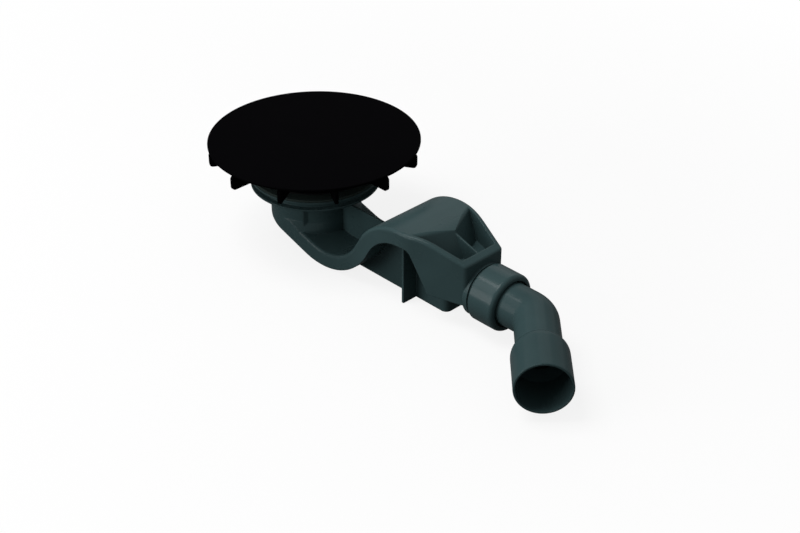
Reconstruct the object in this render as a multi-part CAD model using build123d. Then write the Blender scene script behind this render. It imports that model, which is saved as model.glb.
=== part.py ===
from build123d import *
import os
from math import cos, radians, sin, sqrt, tan

# Shower trap with a low water seal. A round cover stands on a clamp flange that is screwed
# into a flat moulded body, and the body's duct dips and rises to hold the water before it
# leaves through a nut union and a 45 degree bend.
# Millimetres, +Z up. The origin is on the inlet axis, in the plane where the tray rests on
# its seal, and +X runs along the trap towards the outlet.

# Fits
thread_clearance = 0.2  # radial, between a threaded piece and its mate
pipe_clearance = 0.3  # radial, round a pipe that slides into its socket
loose_clearance = 0.3  # radial, round a piece that is only dropped in
seal_clearance = 0.06  # between a cone seal and the faces it closes against

# Edges
edge_bevel = 0.8  # on turned plastic edges
seal_bevel = 0.4  # on rubber edges and thin rims

# Tray joint
tray_gap = 9.1  # room for the tray between its two rubber rings
tray_seal_radius = 61.3
tray_seal_bore = 43.0
tray_seal_thickness = 2.0
tongue_radius = 51.5  # middle of the seal's tongue and of its groove
tongue_width = 2.4
tongue_depth = 1.2
clamp_gasket_radius = 66.0
clamp_gasket_bore = 38.5
clamp_gasket_thickness = 1.5

# Clamp flange
clamp_radius = 67.0
clamp_thickness = 5.4
throat_radius = 33.7
sleeve_wall = 3.0
sleeve_length = 32.0
seat_radius = 39.7  # recess that takes the strainer's rim
seat_depth = 2.6

# Cover
cover_radius = 100.4
cover_thickness = 2.5
cover_bevel = 1.4
cover_edge_radius = 0.8
fin_count = 12
fin_thickness = 3.0
fin_depth = 15.0  # waterway under the cover
fin_reach = 100.3
fin_slant = 2.8
fin_toe_radius = 3.5
rib_depth = 5.5  # fins over the strainer
tab_width = 2.6
tab_drop = 0.7
hub_radius = 16.0
hub_wall = 2.2

# Strainer
strainer_wall = 1.6
strainer_depth = 25.0
strainer_slot_count = 18
strainer_slot_width = 3.0
strainer_slot_margin = 5.0
strainer_floor_slots = 6

# Body flange and neck
wall = 2.5
flange_radius = 62.0
flange_height = 9.1
flange_plate = 3.5
flange_skirt = 2.5
flange_rim = 1.9  # edge under the tray seal
flange_lip = 1.6  # edge at the flange's foot
flange_channel_depth = 6.0  # between the two edges
flange_rib_count = 12
flange_rib_thickness = 2.0
groove_clearance = 0.2
gusset_width = 4.0
gusset_proud = 2.4
gusset_angle = 56.0

# Duct, seen from the side
duct_half_width = 40.75
round_end_x = -4.5  # centre of the duct's round end
roof_start_x = 16.0
roof_start_z = -41.9
roof_slope = 16.7
floor_start_z = -53.9  # outside of the floor under the inlet axis
floor_slope = 17.7
rise_angle = 60.0
rise_depth = 15.5
crest_x = 120.3  # where the rising roof would meet the crest
crest_top = 13.5
crest_depth = 14.7
end_radius = 20.0
valley_roof_radius = 49.4
valley_floor_radius = 72.0
crest_roof_radius = 60.0
crest_floor_radius = 45.0
neck_haunch_top = -36.5
neck_haunch_foot = -43.5
neck_haunch_spread = 7.6
neck_haunch_lead = 0.1  # along the trap
valley_web_top = -18.5
web_thickness = 2.4

# Outlet block
block_end = 221.0
block_end_half_width = 23.1
block_end_top = -0.7
block_fall_x = 180.0  # where the crest would begin to fall
block_fall_radius = 60.0
block_bottom = -40.5
taper_start = 162.0
taper_radius = 60.0
block_corner_radius = 5.0
flank_x = 165.8
flank_angle = 63.9
flank_radius = 9.5
block_floor_radius = 2.0
fold_x = 165.4  # where the fold leaves the sides
fold_nose = 18.6
fold_angle = 64.0
fold_radius = 4.0
pocket_rim = 4.0
pocket_end_wall = 7.3
pocket_floor = -12.5
pocket_web_thickness = 1.6
rim_radius = 3.0

# Foot
foot_half_width = 15.0
foot_start = 76.0
foot_end = 190.5
foot_base = -66.5
foot_corner_radius = 6.0
foot_fin_x = 151.0
foot_fin_reach = 31.0

# Outlet union
outlet_z = -33.0
outlet_bore = 17.5
funnel_start = 164.0
funnel_end = 190.0
pipe_radius = 20.0
pipe_wall = 1.9
socket_depth = 19.0
stub_wall = 3.2
stub_length = 22.0
collar_length = 2.5
collar_height = 1.5
cone_angle = 33.0
cone_lip = 1.2
cone_seal_tip = 0.5
cone_seal_rise = 2.8
nut_wall = 3.0
nut_length = 28.0
nut_gap = 2.5
nut_web = 4.5
nut_front_radius = 4.0
nut_hole_clearance = 1.8
slip_ring_thickness = 2.0

# Outlet bend
spigot_end_gap = 2.0
bend_vertex = 281.6
bend_angle = 45.0
bend_radius = 22.0
bend_reach = 101.2  # vertex to mouth
outlet_end_radius = 25.0
outlet_end_wall = 1.8
shoulder_start = 48.0
shoulder_radius = 15.0
mouth_chamfer = 0.6

# Levels and radii that follow from the sizes above
clamp_under = tray_gap + clamp_gasket_thickness
clamp_top = clamp_under + clamp_thickness
seat_floor = clamp_top - seat_depth
cover_under = clamp_top + fin_depth
cover_top = cover_under + cover_thickness
sleeve_radius = throat_radius + sleeve_wall
sleeve_foot = clamp_under - sleeve_length
flange_top = -tray_seal_thickness
flange_foot = flange_top - flange_height
neck_bore = sleeve_radius + thread_clearance
neck_radius = neck_bore + wall
flange_channel = flange_radius - flange_channel_depth
flange_recess = flange_channel - flange_skirt
sump_top = sleeve_foot - wall / 2
crest_under = crest_top - crest_depth
socket_bore = pipe_radius + pipe_clearance
stub_radius = socket_bore + stub_wall
stub_end = block_end + stub_length
socket_floor = stub_end - socket_depth
collar_radius = stub_radius + collar_height
nut_bore = stub_radius + thread_clearance
nut_radius = nut_bore + nut_wall
nut_start = block_end + collar_length + nut_gap
nut_end = nut_start + nut_length
nut_web_face = nut_end - nut_web
slip_ring_start = nut_web_face - slip_ring_thickness
outlet_axis = Axis((0, 0, outlet_z), (1, 0, 0))
sky = 40.0  # above everything that the side outlines have to clear


def side_region(*lines):
    """Flat region drawn in (x, z) on the trap's middle plane."""
    return Plane.XZ * make_face(Curve() + list(lines))


def side_slab(region, half_width):
    """Solid that runs the region of the middle plane out to both sides."""
    return extrude(region, half_width, both=True)


def outline(points, radii):
    """Closed outline with one corner radius per point, 0 for a sharp corner."""
    return FilletPolyline(*points, radius=radii, close=True)


def bevelled(points, bevels):
    """Closed outline with one corner bevel per point, 0 for a sharp corner."""
    corners = []
    neighbours = zip(points[-1:] + points[:-1], points, points[1:] + points[:1], bevels)
    for before, point, after, bevel in neighbours:
        ends = (before, after) if bevel else (after,)
        corners += [Vector(*point) + (Vector(*end) - Vector(*point)).normalized() * bevel for end in ends]
    return Polyline(*corners, close=True)


def turned(rim):
    """Ring about the inlet axis from the outline of its half section in (radius, z)."""
    return revolve(side_region(rim), Axis.Z)


def turned_outlet(rim):
    """Ring about the outlet axis from the outline of its half section in (x, radius)."""
    return revolve(Pos(0, 0, outlet_z) * side_region(rim), outlet_axis)


def block_between(low, high):
    """Box between two opposite corners."""
    size = [top - bottom for bottom, top in zip(low, high)]
    return Pos(*low) * Box(*size, align=Align.MIN)


def around(piece, count, start=0.0):
    """Copies of a piece at even steps about the inlet axis."""
    return [Rot(0, 0, start + 360 / count * step) * piece for step in range(count)]


# Drain cover: one moulding, a plain disc on radial fins that stand on the clamp flange.
# Short tabs on the fins drop into the strainer's seat and keep the cover central.
tab_outer = seat_radius - loose_clearance
disc_section = outline(
    [
        (0, cover_under),
        (cover_radius - 2 * cover_bevel, cover_under),
        (cover_radius, cover_under + cover_bevel / 2),
        (cover_radius, cover_top),
        (0, cover_top),
    ],
    [0, 0, 0, cover_edge_radius, 0],
)
fin_root = cover_under + cover_thickness / 2
fin_outline = outline(
    [
        (hub_radius - hub_wall / 2, fin_root),
        (hub_radius - hub_wall / 2, cover_under - rib_depth),
        (tab_outer - tab_width, cover_under - rib_depth),
        (tab_outer - tab_width, clamp_top - tab_drop),
        (tab_outer, clamp_top - tab_drop),
        (tab_outer, clamp_top),
        (fin_reach, clamp_top),
        (fin_reach, cover_under - fin_slant),
        (fin_reach - fin_slant, cover_under),
        (fin_reach - fin_slant, fin_root),
    ],
    [0, 0, 2 * rib_depth / 3, 0, 0, 0, fin_toe_radius, fin_slant, 0, 0],
)
fin = side_slab(side_region(fin_outline), fin_thickness / 2)
hub = Pos(0, 0, cover_under - rib_depth) * (
    Cylinder(hub_radius, rib_depth + cover_thickness / 2, align=(Align.CENTER, Align.CENTER, Align.MIN))
    - Cylinder(hub_radius - hub_wall, 4 * fin_depth)
)
drain_cover = turned(disc_section) + hub + around(fin, fin_count)

# Clamp flange: a flat ring with a threaded sleeve that screws into the body's neck.
clamp_section = bevelled(
    [
        (throat_radius, sleeve_foot),
        (sleeve_radius, sleeve_foot),
        (sleeve_radius, clamp_under),
        (clamp_radius, clamp_under),
        (clamp_radius, clamp_top),
        (seat_radius, clamp_top),
        (seat_radius, seat_floor),
        (throat_radius, seat_floor),
    ],
    [edge_bevel, edge_bevel, 0, edge_bevel, 2 * edge_bevel, edge_bevel, 0, edge_bevel],
)
clamp_flange = turned(clamp_section)

# Clamp gasket: flat rubber ring between the clamp flange and the top of the tray.
gasket_section = bevelled(
    [
        (clamp_gasket_bore, tray_gap),
        (clamp_gasket_radius, tray_gap),
        (clamp_gasket_radius, clamp_under),
        (clamp_gasket_bore, clamp_under),
    ],
    [0, seal_bevel, 0, 0],
)
clamp_gasket = turned(gasket_section)

# Hair strainer: slotted cup whose rim lies in the clamp flange's seat.
basket_radius = throat_radius - loose_clearance - strainer_wall / 4
rim_top = seat_floor + strainer_wall
basket_foot = rim_top - strainer_depth
strainer_section = bevelled(
    [
        (0, basket_foot),
        (basket_radius, basket_foot),
        (basket_radius, seat_floor),
        (seat_radius - loose_clearance, seat_floor),
        (seat_radius - loose_clearance, rim_top),
        (basket_radius - strainer_wall, rim_top),
        (basket_radius - strainer_wall, basket_foot + strainer_wall),
        (0, basket_foot + strainer_wall),
    ],
    [0, 3 * edge_bevel, 0, 0, seal_bevel, seal_bevel, 2 * edge_bevel, 0],
)
wall_slot = block_between(
    (basket_radius - 2 * strainer_wall, -strainer_slot_width / 2, basket_foot + strainer_slot_margin),
    (basket_radius + strainer_wall, strainer_slot_width / 2, seat_floor - strainer_slot_margin),
)
slot_plan = Pos(basket_radius / 2, 0) * SlotOverall(basket_radius / 2, strainer_slot_width)
floor_slot = Pos(0, 0, basket_foot) * extrude(slot_plan, strainer_wall, both=True)
hair_strainer = turned(strainer_section) - around(wall_slot, strainer_slot_count)
hair_strainer -= around(floor_slot, strainer_floor_slots)
hair_strainer -= Pos(0, 0, basket_foot) * Cylinder(strainer_slot_width / 2, 4 * strainer_wall)

# Tray seal: flat rubber ring under the tray, held in the body's groove by its tongue.
tongue_inner = tongue_radius - tongue_width / 2
tongue_outer = tongue_radius + tongue_width / 2
tray_seal_section = bevelled(
    [
        (tray_seal_bore, flange_top),
        (tongue_inner, flange_top),
        (tongue_inner, flange_top - tongue_depth),
        (tongue_outer, flange_top - tongue_depth),
        (tongue_outer, flange_top),
        (tray_seal_radius, flange_top),
        (tray_seal_radius, 0),
        (tray_seal_bore, 0),
    ],
    [0, 0, seal_bevel, seal_bevel, 0, 0, seal_bevel, seal_bevel],
)
tray_seal = turned(tray_seal_section)


# Trap body, one moulding. Its side view is drawn with straight lines (x, z, direction in
# degrees) that are moved inwards by the wall for the waterway, with rounded crossings.
def shifted(line, distance):
    """The line moved to its left by the distance."""
    x, z, angle = line
    turn = radians(angle)
    return (x - distance * sin(turn), z + distance * cos(turn), angle)


def crossing(first, second):
    """Point where two lines meet."""
    x, z, angle = first
    other_x, other_z, other_angle = second
    turn = radians(angle)
    other_turn = radians(other_angle)
    along = ((other_x - x) * sin(other_turn) - (other_z - z) * cos(other_turn)) / sin(other_turn - turn)
    return (x + along * cos(turn), z + along * sin(turn))


end_wall_x = round_end_x - duct_half_width
end_wall = (end_wall_x, 0, -90)
roof_fall = (roof_start_x, roof_start_z, -roof_slope)
roof_rise = (crest_x, crest_top, rise_angle)
crest_roof = (crest_x, crest_top, 0)
floor_fall = (0, floor_start_z, -floor_slope)
floor_rise = shifted(roof_rise, -rise_depth)
crest_floor = (crest_x, crest_under, 0)
flank = (flank_x, crest_under, -flank_angle)
block_floor = (block_end, block_bottom, 0)


def floor_points(inset):
    """Corners and radii of the underside from the inlet end to the crest."""
    lines = [shifted(line, inset) for line in (end_wall, floor_fall, floor_rise, crest_floor)]
    corners = [crossing(before, after) for before, after in zip(lines, lines[1:])]
    radii = [end_radius - inset, valley_floor_radius - inset, crest_floor_radius + inset]
    return corners, radii


def roof_points(inset):
    """Corners and radii of the top from the crest back to the falling roof."""
    lines = [shifted(line, -inset) for line in (crest_roof, roof_rise, roof_fall)]
    corners = [crossing(before, after) for before, after in zip(lines, lines[1:])]
    radii = [crest_roof_radius - inset, valley_roof_radius + inset]
    return corners, radii


def underside(inset):
    """Corners and radii of the whole underside, out to the end of the outlet block."""
    corners, radii = floor_points(inset)
    lines = [shifted(line, inset) for line in (crest_floor, flank, block_floor)]
    corners += [crossing(before, after) for before, after in zip(lines, lines[1:])]
    radii += [flank_radius + inset, block_floor_radius]
    return corners, radii


def above_floor(inset):
    """Slab of everything above the underside, moved inwards by the inset."""
    corners, radii = underside(inset)
    points = [(end_wall_x + inset, sky)] + corners
    points += [(block_end, block_bottom + inset), (block_end, sky)]
    return side_slab(side_region(outline(points, [0] + radii + [0, 0])), 2 * duct_half_width)


def plan_prism(inset, low, high):
    """Upright prism on the body's plan: a round end, straight sides and a tapered tail."""
    half = duct_half_width - inset
    tail = block_end_half_width - inset
    tip = block_end - inset
    near = (round_end_x, -half)
    far = (round_end_x, half)
    side = FilletPolyline(
        near, (taper_start, -half), (tip, -tail), (tip, tail), (taper_start, half), far,
        radius=[taper_radius, block_corner_radius, block_corner_radius, taper_radius],
    )
    end = ThreePointArc(far, (round_end_x - half, 0), near)
    return Pos(0, 0, low) * extrude(make_face(Curve() + [side, end]), high - low)


# Duct and outlet block as one outer shape: side view and plan, with the top rims rounded.
roof_corners, roof_radii = roof_points(0)
under_corners, under_radii = underside(0)
side_outline = outline(
    [crossing(roof_fall, end_wall)]
    + under_corners
    + [(block_end, block_bottom), (block_end, block_end_top), (block_fall_x, crest_top)]
    + roof_corners,
    [0] + under_radii + [0, 0, block_fall_radius] + roof_radii,
)
duct = side_slab(side_region(side_outline), 2 * duct_half_width) & plan_prism(0, foot_base, sky)
least_rise = cos(radians(rise_angle)) / 2  # a top face looks upwards by at least this
upper_faces = duct.faces().filter_by(lambda face: face.normal_at(face.center()).Z > least_rise)
side_rims = upper_faces.edges().filter_by(lambda edge: abs(edge.center().Y) > wall)
duct = fillet(side_rims, rim_radius)

# Flange for the tray seal: lipped edge, a groove on top and ribs in its hollow underside.
groove_inner = tongue_inner - groove_clearance
groove_outer = tongue_outer + groove_clearance
groove_floor = flange_top - tongue_depth - groove_clearance
flange_section = Polyline(
    [
        (neck_bore, flange_foot),
        (neck_radius, flange_foot),
        (neck_radius, flange_top - flange_plate),
        (flange_recess, flange_top - flange_plate),
        (flange_recess, flange_foot),
        (flange_radius, flange_foot),
        (flange_radius, flange_foot + flange_lip),
        (flange_channel, flange_foot + flange_lip),
        (flange_channel, flange_top - flange_rim),
        (flange_radius, flange_top - flange_rim),
        (flange_radius, flange_top),
        (groove_outer, flange_top),
        (groove_outer, groove_floor),
        (groove_inner, groove_floor),
        (groove_inner, flange_top),
        (neck_bore, flange_top),
    ],
    close=True,
)
flange_rib = block_between(
    (neck_bore + wall / 2, -flange_rib_thickness / 2, flange_foot + flange_lip),
    (flange_recess + flange_skirt / 2, flange_rib_thickness / 2, flange_top - flange_plate / 2),
)
flange = turned(flange_section) + around(flange_rib, flange_rib_count, start=180 / flange_rib_count)

# Neck, carried down round the duct's end, with a haunch that spreads it over the duct's
# shoulders and a small wedge on each side.
column_top = flange_top - flange_plate / 2
neck_plan = make_hull(
    Circle(neck_radius).edges() + (Pos(round_end_x, 0) * Circle(duct_half_width)).edges()
)
neck = Pos(0, 0, foot_base) * extrude(neck_plan, column_top - foot_base)
spread = Ellipse(neck_radius + neck_haunch_lead, neck_radius + neck_haunch_spread)
haunch = loft([Pos(0, 0, neck_haunch_top) * Circle(neck_radius), Pos(0, 0, neck_haunch_foot) * spread])
haunch += Pos(0, 0, foot_base) * extrude(spread, neck_haunch_foot - foot_base)
haunch &= block_between((0, -duct_half_width, foot_base), (2 * neck_radius, duct_half_width, sky))
gusset_plan = Polyline(
    (neck_bore + wall / 2, -gusset_width / 2),
    (neck_radius + gusset_proud, -gusset_width / 2),
    (neck_radius, gusset_width / 2),
    (neck_bore + wall / 2, gusset_width / 2),
    close=True,
)
gusset = Pos(0, 0, neck_haunch_foot) * extrude(make_face(gusset_plan), column_top - neck_haunch_foot)
gussets = Rot(0, 0, -gusset_angle) * gusset + mirror(Rot(0, 0, -gusset_angle) * gusset, Plane.XZ)
column = (neck + haunch + gussets) & above_floor(wall / 4)

# Web along the middle of the valley between the neck and the rising duct.
web_end, _ = crossing(roof_rise, (0, valley_web_top, 0))
valley_web = block_between(
    (neck_bore + wall / 2, -web_thickness / 2, foot_base),
    (web_end + wall / 2, web_thickness / 2, valley_web_top),
)
valley_web &= above_floor(wall / 2)


# Foot: a hollow upright box under the arch of the duct, with a fin out to each side.
def foot_prism(inset):
    """Upright prism on the foot's plan, moved inwards by the inset."""
    start = foot_start + inset
    end = foot_end - inset
    half = foot_half_width - inset
    corner = foot_corner_radius - inset
    plan = outline([(start, -half), (end, -half), (end, half), (start, half)], [0, corner, corner, 0])
    return Pos(0, 0, foot_base) * extrude(make_face(plan), crest_under - foot_base)


foot_fins = block_between(
    (foot_fin_x - web_thickness / 2, -foot_fin_reach, foot_base),
    (foot_fin_x + web_thickness / 2, foot_fin_reach, crest_under),
) - block_between(
    (foot_start, wall / 2 - foot_half_width, foot_base), (foot_end, foot_half_width - wall / 2, crest_under)
)
foot = foot_prism(0) - foot_prism(wall) + foot_fins
foot -= above_floor(wall / 2)

# Outlet: a funnel gathers the flat duct into a round pipe that ends in a threaded stub.
taper = (duct_half_width - block_end_half_width) / (block_end - taper_start)
funnel_half_width = duct_half_width - taper * (funnel_start - taper_start)


def funnel(inset, bore):
    """Solid from the flat crest to the round pipe, moved inwards by the inset."""
    width = 2 * (funnel_half_width - inset)
    height = crest_depth - 2 * inset
    mouth = Pos((crest_top + crest_under) / 2, 0) * Rectangle(height, width)
    start = Plane((funnel_start, 0, 0), x_dir=(0, 0, 1), z_dir=(1, 0, 0)) * mouth
    end = Plane((funnel_end, 0, outlet_z), x_dir=(0, 0, 1), z_dir=(1, 0, 0)) * Circle(bore)
    return loft([start, end])


def outlet_rod(radius, start, end):
    """Cylinder on the outlet axis."""
    section = Plane((start, 0, outlet_z), x_dir=(0, 0, 1), z_dir=(1, 0, 0)) * Circle(radius)
    return extrude(section, end - start)


outlet_pipe = funnel(rim_radius / 2, outlet_bore + wall)
outlet_pipe += outlet_rod(outlet_bore + wall, funnel_end, block_end)
outlet_pipe += outlet_rod(stub_radius, block_end - wall, stub_end)
outlet_pipe += outlet_rod(collar_radius, block_end - wall, block_end + collar_length)

# Pocket in the top of the block: the crest folds down into it along a blunt nose.
pocket_tip = block_end - pocket_end_wall
pocket_box = block_between(
    (fold_x, -duct_half_width, pocket_floor), (pocket_tip, duct_half_width, sky)
)
pocket = plan_prism(pocket_rim, pocket_floor, sky) & pocket_box
nose_fall = crest_top - pocket_floor + wall
nose_back = fold_x - nose_fall / tan(radians(fold_angle)) - wall
nose_plan = Polyline(
    (nose_back, -duct_half_width), (fold_x, -duct_half_width), (fold_x + fold_nose, 0),
    (fold_x, duct_half_width), (nose_back, duct_half_width), close=True,
)
nose = extrude(
    Pos(0, 0, crest_top) * make_face(nose_plan),
    amount=nose_fall / sin(radians(fold_angle)),
    dir=(cos(radians(fold_angle)), 0, -sin(radians(fold_angle))),
)
fold_edges = nose.edges().filter_by(lambda edge: edge.center().X > fold_x)
nose = fillet(fold_edges.filter_by(lambda edge: edge.center().Z > crest_top - pocket_rim), fold_radius)
nose &= plan_prism(pocket_rim / 2, block_bottom, sky) & above_floor(wall / 2) & duct
pocket_web = side_slab(
    side_region(
        Polyline(
            (fold_x, pocket_floor - wall / 2),
            (pocket_tip + wall, pocket_floor - wall / 2),
            (pocket_tip + wall, block_end_top),
            (fold_x + fold_nose, crest_top - pocket_rim),
            close=True,
        )
    ),
    pocket_web_thickness / 2,
)
block_fill = nose + pocket_web

# Waterway: the neck's bore, the duct, the funnel, the pipe and the pipe socket.
cup = Pos(0, 0, foot_base) * Cylinder(neck_bore, -foot_base, align=(Align.CENTER, Align.CENTER, Align.MIN))
cup += Pos(round_end_x, 0, foot_base) * Cylinder(
    duct_half_width - wall, sump_top - foot_base, align=(Align.CENTER, Align.CENTER, Align.MIN)
)
cup &= above_floor(wall)
inner_floor, inner_floor_radii = floor_points(wall)
inner_roof, inner_roof_radii = roof_points(wall)
inlet_plane = (0, 0, 90)
waterway_outline = outline(
    [crossing(shifted(floor_fall, wall), inlet_plane)]
    + inner_floor[1:]
    + [(funnel_start, crest_under + wall), (funnel_start, crest_top - wall)]
    + inner_roof
    + [crossing(shifted(roof_fall, -wall), inlet_plane)],
    [0] + inner_floor_radii[1:] + [0, 0] + inner_roof_radii + [0],
)
waterway = side_slab(side_region(waterway_outline), 2 * duct_half_width) & plan_prism(wall, foot_base, sky)
cone_mouth = stub_radius - cone_lip
cone_depth = (cone_mouth - socket_bore) / tan(radians(cone_angle))
socket_section = Polyline(
    [
        (socket_floor, 0),
        (stub_end, 0),
        (stub_end, cone_mouth),
        (stub_end - cone_depth, socket_bore),
        (socket_floor, socket_bore),
    ],
    close=True,
)

trap_body = duct - pocket + block_fill
trap_body += outlet_pipe
trap_body += column
trap_body += flange
trap_body += valley_web
trap_body += foot
trap_body -= cup
trap_body -= waterway
trap_body -= funnel(wall, outlet_bore)
trap_body -= outlet_rod(outlet_bore, funnel_end, socket_floor)
trap_body -= turned_outlet(socket_section)

# Cone seal: rubber ring that the nut presses between the stub's mouth and the pipe.
seal_bore = pipe_radius + seal_clearance
seal_tip_radius = seal_bore + cone_seal_tip
seal_back_radius = seal_bore + cone_seal_rise


def cone_x(radius):
    """Place along the outlet where the seal's cone has the radius."""
    return stub_end - (cone_mouth - radius - seal_clearance) / tan(radians(cone_angle))


cone_seal_section = Polyline(
    [
        (cone_x(seal_tip_radius), seal_bore),
        (slip_ring_start, seal_bore),
        (slip_ring_start, seal_back_radius),
        (cone_x(seal_back_radius), seal_back_radius),
        (cone_x(seal_tip_radius), seal_tip_radius),
    ],
    close=True,
)
cone_seal = turned_outlet(cone_seal_section)

# Slip ring: stiff washer that keeps the turning nut from dragging the seal.
slip_ring_section = Polyline(
    [
        (slip_ring_start, pipe_radius + pipe_clearance),
        (nut_web_face, pipe_radius + pipe_clearance),
        (nut_web_face, nut_bore - loose_clearance),
        (slip_ring_start, nut_bore - loose_clearance),
    ],
    close=True,
)
slip_ring = turned_outlet(slip_ring_section)

# Outlet nut: smooth cap screwed over the stub, with a hole that leaves the pipe free.
nut_hole = pipe_radius + nut_hole_clearance
nut_section = outline(
    [
        (nut_start, nut_bore),
        (nut_start, nut_radius - edge_bevel),
        (nut_start + edge_bevel, nut_radius),
        (nut_end, nut_radius),
        (nut_end, nut_hole),
        (nut_web_face, nut_hole),
        (nut_web_face, nut_bore),
    ],
    [0, 0, 0, nut_front_radius, 0, 0, 0],
)
outlet_nut = turned_outlet(nut_section)

# Outlet bend: a pipe bent sideways and widened at its end, free to turn in the union.
spigot_start = socket_floor + spigot_end_gap
turn = radians(bend_angle)
away = (cos(turn), -sin(turn), 0)
elbow = (bend_vertex, 0, outlet_z)
exit_plane = Plane(elbow, x_dir=(0, 0, 1), z_dir=away)
shoulder_length = sqrt(shoulder_radius**2 - (shoulder_radius - outlet_end_radius + pipe_radius) ** 2)
shoulder_end = shoulder_start + shoulder_length
bend_bore = pipe_radius - pipe_wall
mouth_bore = outlet_end_radius - outlet_end_wall
step_start = shoulder_start + pipe_wall
step_end = shoulder_end + outlet_end_wall


def bend_pipe(radius):
    """Round rod along the bend's middle line, as far as the widened end."""
    join = exit_plane.from_local_coords((0, 0, shoulder_end))
    path = FilletPolyline((spigot_start, 0, outlet_z), elbow, join, radius=bend_radius)
    return sweep(Plane((spigot_start, 0, outlet_z), z_dir=(1, 0, 0)) * Circle(radius), path)


def around_exit(lines):
    """Ring about the exit line from its half section in (radius, distance from the vertex)."""
    section = Plane(elbow, x_dir=(0, 0, 1), z_dir=(sin(turn), cos(turn), 0))
    return revolve(section * make_face(Curve() + lines), Axis(elbow, away))


shoulder = RadiusArc(
    (pipe_radius, shoulder_start), (outlet_end_radius, shoulder_end), -shoulder_radius
)
wide_end = around_exit(
    [
        Polyline((0, shoulder_end), (0, shoulder_start), (pipe_radius, shoulder_start)),
        shoulder,
        Polyline(
            (outlet_end_radius, shoulder_end),
            (outlet_end_radius, bend_reach - mouth_chamfer),
            (outlet_end_radius - mouth_chamfer, bend_reach),
            (0, bend_reach),
            (0, shoulder_end),
        ),
    ]
)
wide_bore = around_exit(
    [
        Polyline(
            (0, step_start),
            (bend_bore, step_start),
            (mouth_bore, step_end),
            (mouth_bore, bend_reach),
            (0, bend_reach),
            close=True,
        )
    ]
)
outlet_bend = bend_pipe(pipe_radius) + wide_end - bend_pipe(bend_bore) - wide_bore

pieces = {
    "drain_cover": drain_cover,
    "clamp_flange": clamp_flange,
    "clamp_gasket": clamp_gasket,
    "hair_strainer": hair_strainer,
    "tray_seal": tray_seal,
    "trap_body": trap_body,
    "cone_seal": cone_seal,
    "slip_ring": slip_ring,
    "outlet_nut": outlet_nut,
    "outlet_bend": outlet_bend,
}
os.makedirs("parts", exist_ok=True)
for name, piece in pieces.items():
    export_step(piece, f"parts/{name}.step")
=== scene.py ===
from math import cos, pi, radians, sin

import bpy
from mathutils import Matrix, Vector


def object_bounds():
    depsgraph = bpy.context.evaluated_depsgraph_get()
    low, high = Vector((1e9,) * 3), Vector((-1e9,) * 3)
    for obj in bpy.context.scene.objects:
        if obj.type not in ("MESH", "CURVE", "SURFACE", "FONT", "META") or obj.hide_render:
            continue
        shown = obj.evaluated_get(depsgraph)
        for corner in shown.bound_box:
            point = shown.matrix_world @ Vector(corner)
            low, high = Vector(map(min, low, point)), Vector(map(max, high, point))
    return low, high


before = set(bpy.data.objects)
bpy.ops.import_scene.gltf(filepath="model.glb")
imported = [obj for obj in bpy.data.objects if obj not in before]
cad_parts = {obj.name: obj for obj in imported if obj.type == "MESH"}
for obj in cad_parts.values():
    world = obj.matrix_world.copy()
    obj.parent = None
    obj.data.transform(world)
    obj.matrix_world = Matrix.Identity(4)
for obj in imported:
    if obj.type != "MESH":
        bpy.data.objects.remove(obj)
cad_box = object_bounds()


# Trap body: the flange, neck, dipping duct, outlet block and foot in one injection moulding
# of dark green-grey polypropylene. The mould leaves a fine even grain, the melt leaves faint
# cloudy patches, and handling has polished the outer edges a little. The edges are also
# painted paler, partly as wear and partly as a painted highlight along the rims.
class Shade:
    """One value of a material. Sums and products of values add Math nodes to its tree."""

    def __init__(self, tree, socket=None):
        self.tree = tree
        self.socket = socket

    def node(self, kind, settings=None, inputs=None, output=0):
        """Adds a node, with its settings first and then its sockets, and gives one of its outputs."""
        made = self.tree.nodes.new(kind)
        for name, value in (settings or {}).items():
            setattr(made, name, value)
        for name, value in (inputs or {}).items():
            if isinstance(value, Shade):
                self.tree.links.new(value.socket, made.inputs[name])
            else:
                made.inputs[name].default_value = value
        return Shade(self.tree, made.outputs[output])

    def math(self, operation, first, second=0.0):
        return self.node("ShaderNodeMath", {"operation": operation}, {0: first, 1: second})

    def __add__(self, other):
        return self.math("ADD", self, other)

    def __radd__(self, other):
        return self.math("ADD", other, self)

    def __sub__(self, other):
        return self.math("SUBTRACT", self, other)

    def __rsub__(self, other):
        return self.math("SUBTRACT", other, self)

    def __mul__(self, other):
        return self.math("MULTIPLY", self, other)

    def __rmul__(self, other):
        return self.math("MULTIPLY", other, self)

    def __abs__(self):
        return self.math("ABSOLUTE", self)

    def between(self, low, high):
        """0 below low, 1 above high and a straight ramp from one to the other."""
        inputs = {"Value": self, "From Min": low, "From Max": high}
        return self.node("ShaderNodeMapRange", {"clamp": True}, inputs)

    def noise(self, scale, detail=2.0, rough=0.5):
        """Even noise in the piece's own space; scale counts its patches per metre."""
        inputs = {"Vector": self, "Scale": scale, "Detail": detail, "Roughness": rough}
        return self.node("ShaderNodeTexNoise", None, inputs)

    def mix(self, first, second):
        """Colour that goes from the first to the second as this value goes from 0 to 1."""
        return self.node("ShaderNodeMix", {"data_type": "RGBA"}, {0: self, 6: first, 7: second}, 2)


def toned(colour, factor):
    """The same colour, lighter or darker by a factor."""
    return [channel * factor for channel in colour[:3]] + [1]


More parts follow.
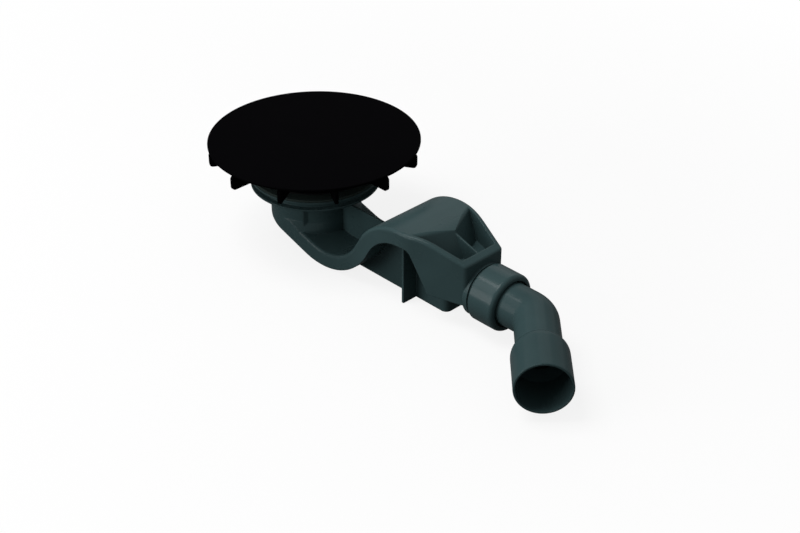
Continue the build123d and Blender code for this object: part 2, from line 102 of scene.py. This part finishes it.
def moulded(name, colour, worn_and_highlight, rough, specular, grain_size, grain_depth, marks=None):
    """Moulded material: cloudy colour, mould grain and paler edges, part wear, part painted
    highlight.
    """
    edge_radius = 0.0012
    # Share of the paler edge colour: edge wear together with a painted highlight on rims and creases.
    edge_wear_and_highlight = 0.55
    edge_polish = 0.06
    scuff_stretch = (1.0, 3.5, 1.6)
    scuff_paleness = 0.03
    scuff_dullness = 0.06
    cloud_dullness = 0.14
    # How far painted shade darkens the groove's colour.
    groove_painted_shade = 0.85
    groove_depth = 4.0
    grain_strength = 0.35

    material = bpy.data.materials.new(name)
    material.use_nodes = True
    tree = material.node_tree
    shader = tree.nodes["Principled BSDF"]
    start = Shade(tree)
    place = start.node("ShaderNodeTexCoord", None, None, "Object")
    cloud = place.noise(scale=22.0, detail=3.0, rough=0.55)
    grain = place.noise(scale=1.0 / grain_size, detail=2.0, rough=0.6)
    streaks = place.node("ShaderNodeMapping", None, {"Vector": place, "Scale": scuff_stretch})
    scuff = streaks.noise(scale=160.0, detail=4.0, rough=0.7).between(0.6, 0.75)

    rounded = start.node("ShaderNodeBevel", {"samples": 6}, {"Radius": edge_radius})
    facing = start.node("ShaderNodeNewGeometry", None, None, "Normal")
    both = {0: rounded, 1: facing}
    turned = start.node("ShaderNodeVectorMath", {"operation": "DOT_PRODUCT"}, both, "Value")
    patchy = place.noise(scale=300.0, detail=3.0, rough=0.6).between(0.35, 0.65)
    edge = (1.0 - turned).between(0.015, 0.2) * patchy

    tint = cloud.between(0.3, 0.7).mix(toned(colour, 0.94), toned(colour, 1.08))
    height = grain
    if marks is not None:
        groove = marks(place)
        broken = place.noise(scale=150.0).between(0.4, 0.55)
        # Painted shade: the groove is darkened in broken dashes, and the paler edge colour is taken
        # off it.
        tint = (groove * broken * groove_painted_shade).mix(tint, toned(colour, 0.25))
        edge = edge * (1.0 - groove)
        height = grain - groove * groove_depth
    # Edges turn paler: partly wear, partly a painted highlight along rims and creases.
    tint = (edge * edge_wear_and_highlight + scuff * scuff_paleness).mix(tint, worn_and_highlight)
    roughness = rough + (cloud - 0.5) * cloud_dullness + scuff * scuff_dullness - edge * edge_polish
    bump_inputs = {
        "Strength": grain_strength,
        "Distance": grain_depth,
        "Height": height,
        "Normal": rounded,
    }
    bump = start.node("ShaderNodeBump", None, bump_inputs)
    tree.links.new(tint.socket, shader.inputs["Base Color"])
    tree.links.new(roughness.socket, shader.inputs["Roughness"])
    tree.links.new(bump.socket, shader.inputs["Normal"])
    shader.inputs["Specular IOR Level"].default_value = specular
    return material


def dress(node, material):
    """Gives a node of the frame its finish."""
    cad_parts[node].data.materials.clear()
    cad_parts[node].data.materials.append(material)


grey_colour = (0.034, 0.0625, 0.0655, 1)
# Edge colour: partly wear, partly a painted highlight.
grey_wear_and_highlight = (0.062, 0.1, 0.104, 1)
body_plastic = moulded(
    "grey_green_plastic",
    grey_colour,
    grey_wear_and_highlight,
    rough=0.28,
    specular=0.11,
    grain_size=0.0007,
    grain_depth=0.00003,
)
dress("trap_body", body_plastic)

# Tray seal: a moulded ring of soft dark grey rubber that lies on the body's flange and takes
# the underside of the tray. Rubber is duller than the plastic, with paler edges that are part
# dust and part painted highlight.
seal_colour = (0.024, 0.036, 0.033, 1)
# Edge colour: partly dust, partly a painted highlight.
seal_dust_and_highlight = (0.06, 0.085, 0.078, 1)
seal_rubber = moulded(
    "grey_rubber",
    seal_colour,
    seal_dust_and_highlight,
    rough=0.75,
    specular=0.1,
    grain_size=0.0004,
    grain_depth=0.00005,
)
dress("tray_seal", seal_rubber)

# Clamp gasket and cone seal: thin rings of black rubber, the gasket punched from sheet and
# the cone moulded. They close on the top of the tray and on the outlet pipe.
gasket_colour = (0.006, 0.006, 0.0065, 1)
# Edge colour: partly wear, partly a painted highlight.
gasket_wear_and_highlight = (0.014, 0.014, 0.015, 1)
black_rubber = moulded(
    "black_rubber",
    gasket_colour,
    gasket_wear_and_highlight,
    rough=0.75,
    specular=0.05,
    grain_size=0.0004,
    grain_depth=0.00005,
)
dress("clamp_gasket", black_rubber)
dress("cone_seal", black_rubber)

# Clamp flange and drain cover: mouldings of black polypropylene. The flange is a ring whose
# sleeve screws down into the neck. The cover has a matt, finely grained top and only rests on
# the flange, on the fins under it.
black_colour = (0.0008, 0.0007, 0.0011, 1)
# Edge colour: partly wear, partly a painted highlight.
black_wear_and_highlight = (0.0025, 0.0024, 0.003, 1)
black_plastic = moulded(
    "matt_black_plastic",
    black_colour,
    black_wear_and_highlight,
    rough=0.65,
    specular=0.01,
    grain_size=0.0005,
    grain_depth=0.00005,
)
dress("clamp_flange", black_plastic)
dress("drain_cover", black_plastic)

# Hair strainer: loose slotted cup of plain grey-black plastic that lifts out for cleaning.
# It hangs in the throat of the clamp flange, and is a little glossier than the flange.
strainer_colour = (0.014, 0.015, 0.016, 1)
strainer_plastic = moulded(
    "strainer_plastic",
    strainer_colour,
    grey_wear_and_highlight,
    rough=0.45,
    specular=0.25,
    grain_size=0.0006,
    grain_depth=0.00004,
)
dress("hair_strainer", strainer_plastic)

# Outlet nut and slip ring: the same grey-green plastic as the body. The nut is a smooth cap
# that is tightened by hand, so its skin is a little shinier than the body's.
nut_plastic = moulded(
    "nut_plastic",
    grey_colour,
    grey_wear_and_highlight,
    rough=0.19,
    specular=0.13,
    grain_size=0.0006,
    grain_depth=0.00002,
)
dress("outlet_nut", nut_plastic)
dress("slip_ring", nut_plastic)

# Outlet bend: a 40 mm pipe bent by 45 degrees and widened to a 50 mm end, moulded in two
# halves round cores. The cores leave a fine line where the widened end begins, cut in as a
# shallow groove; painted shade darkens it in broken dashes.
bend_vertex = 0.2816
bend_turn = radians(45)
shoulder_start = 0.048
witness_core = 0.00048
witness_width = 0.0012


def witness_line(place):
    """1 on the fine line that the mould's cores leave where the widened end begins, else 0."""
    x = place.node("ShaderNodeSeparateXYZ", None, {"Vector": place}, "X")
    y = place.node("ShaderNodeSeparateXYZ", None, {"Vector": place}, "Y")
    along = (x - bend_vertex) * cos(bend_turn) - y * sin(bend_turn)
    return 1.0 - abs(along - shoulder_start).between(witness_core, witness_width)


bend_colour = (0.0325, 0.059, 0.062, 1)
bend_plastic = moulded(
    "bend_plastic",
    bend_colour,
    grey_wear_and_highlight,
    rough=0.19,
    specular=0.06,
    grain_size=0.0006,
    grain_depth=0.00002,
    marks=witness_line,
)
dress("outlet_bend", bend_plastic)

# Floor: a plain flat ground under the foot. The eye sees it white, with a soft shadow round the
# trap that fades to clear white further out, and it throws only a little light back on the trap.
floor_level = cad_box[0][2]
floor_side = 12
floor_seen = (0.9, 0.9, 0.9, 1)
floor_bounce = (0.12, 0.12, 0.12, 1)
floor_mirrored = 0.03
shadow_share = 0.15
shadow_end = 0.35
clear_start = 0.8
bpy.ops.object.select_all(action="DESELECT")
bpy.ops.mesh.primitive_plane_add(size=floor_side, location=(0, 0, floor_level))
floor = bpy.context.object
floor.name = "floor"
floor_material = bpy.data.materials.new("white_floor")
floor_material.use_nodes = True
tree = floor_material.node_tree
floor_shader = tree.nodes["Principled BSDF"]
floor_shader.inputs["Roughness"].default_value = 0.9
floor_shader.inputs["Specular IOR Level"].default_value = 0.0
paint = Shade(tree, floor_shader.outputs[0])
seen = paint.node("ShaderNodeLightPath", None, None, "Is Camera Ray")
mirrored = paint.node("ShaderNodeLightPath", None, None, "Is Glossy Ray")
through = paint.node("ShaderNodeLightPath", None, None, "Is Transmission Ray")
place = paint.node("ShaderNodeTexCoord", None, None, "Object")
reach = paint.node("ShaderNodeVectorMath", {"operation": "LENGTH"}, {0: place}, "Value")
glow = paint.node("ShaderNodeEmission", None, {"Color": (1, 1, 1, 1), "Strength": 1.0})
floor_colour = seen.mix(floor_bounce, floor_seen)
tree.links.new(floor_colour.socket, floor_shader.inputs["Base Color"])
whiteness = 1.0 - shadow_share + reach.between(shadow_end, clear_start) * shadow_share
share = (seen + (mirrored + through) * floor_mirrored) * whiteness
floor_mix = paint.node("ShaderNodeMixShader", None, {0: share, 1: paint, 2: glow})
tree.links.new(floor_mix.socket, tree.nodes["Material Output"].inputs["Surface"])
floor.data.materials.append(floor_material)

# Studio: a dim even sky that is pure white to the eye, one large soft lamp high on the near
# side, a low fill for the near walls, and two weak panels that lay a sheen on the round parts.
sky_light = 0.33
sky_mirrored = 0.02
world = bpy.data.worlds.new("studio")
bpy.context.scene.world = world
world.use_nodes = True
tree = world.node_tree
background = tree.nodes["Background"]
sky = Shade(tree, background.outputs[0])
seen = sky.node("ShaderNodeLightPath", None, None, "Is Camera Ray")
mirrored = sky.node("ShaderNodeLightPath", None, None, "Is Glossy Ray")
through = sky.node("ShaderNodeLightPath", None, None, "Is Transmission Ray")
background.inputs["Color"].default_value = (1, 1, 1, 1)
strength = sky_light + seen * (1.0 - sky_light) + (mirrored + through) * sky_mirrored
tree.links.new(strength.socket, background.inputs["Strength"])
trap_middle = Vector((0.1, 0, -0.02))


def soft_lamp(name, place, size, power):
    """Square area lamp that faces the middle of the trap."""
    lamp = bpy.data.lights.new(name, "AREA")
    lamp.size = size
    lamp.energy = power
    holder = bpy.data.objects.new(name, lamp)
    holder.location = place
    aim = trap_middle - Vector(place)
    holder.rotation_euler = aim.to_track_quat("-Z", "Y").to_euler()
    bpy.context.scene.collection.objects.link(holder)


soft_lamp("key_lamp", place=(-0.7, -0.8, 2.6), size=1.4, power=48)
soft_lamp("fill_lamp", place=(-0.7, -2.05, 0.5), size=1.2, power=18.5)
soft_lamp("front_panel", place=(-0.87, -1.06, 1.19), size=0.7, power=3.2)
soft_lamp("back_panel", place=(-1.0, 1.7, 1.2), size=1.1, power=1.7)

# Camera: at the photograph's angle, looking down on the trap from beyond its outlet end on
# the near side, with a long lens and everything in focus.
view_down = radians(32.47)
view_heading = radians(135.81)
eye = bpy.data.cameras.new("eye")
eye.sensor_width = 36.0
eye.lens = 67.16
camera = bpy.data.objects.new("eye", eye)
camera.location = (0.9525, -0.8135, 0.6851)
camera.rotation_euler = (pi / 2 - view_down, 0, view_heading - pi / 2)
bpy.context.scene.collection.objects.link(camera)
bpy.context.scene.camera = camera
bpy.context.scene.view_settings.view_transform = "Standard"
